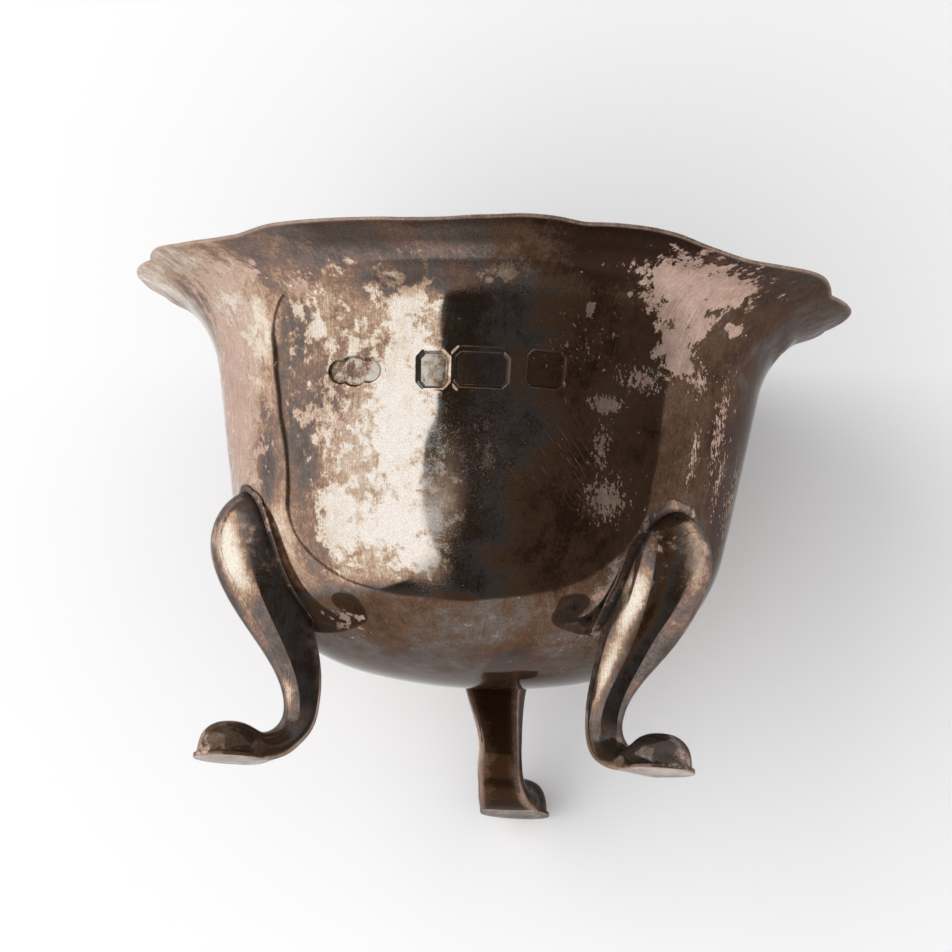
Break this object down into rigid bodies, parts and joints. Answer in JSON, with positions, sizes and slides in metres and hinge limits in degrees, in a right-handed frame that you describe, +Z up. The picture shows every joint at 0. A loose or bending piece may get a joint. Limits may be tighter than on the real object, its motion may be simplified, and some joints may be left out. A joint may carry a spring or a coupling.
{
  "type": "salt cellar",
  "caption": "Open silver salt cellar: a raised cauldron bowl with a flared, lobed rim on cast cabriole legs with pad feet, soldered on at the knees.",
  "frame": {"origin": "on the bowl's axis, in the plane of the soles", "axes": "+Z up along the bowl's axis, +Y through the rear leg, the front legs 60 degrees to either side of -Y"},
  "size_m": [0.0594, 0.0594, 0.0417],
  "materials": {
    "sheet_silver": "raised sterling silver sheet, once polished, under brown tarnish with lighter worn patches",
    "cast_silver": "cast and filed sterling silver, tarnished brown with bright worn edges",
    "silver_solder": "dark tarnished solder seam"
  },
  "bodies": {
    "root": {"bowl": "sheet_silver", "leg_left": "cast_silver", "leg_right": "cast_silver", "leg_rear": "cast_silver", "solder_left": "silver_solder", "solder_right": "silver_solder", "solder_rear": "silver_solder"}
  },
  "joints": []
}
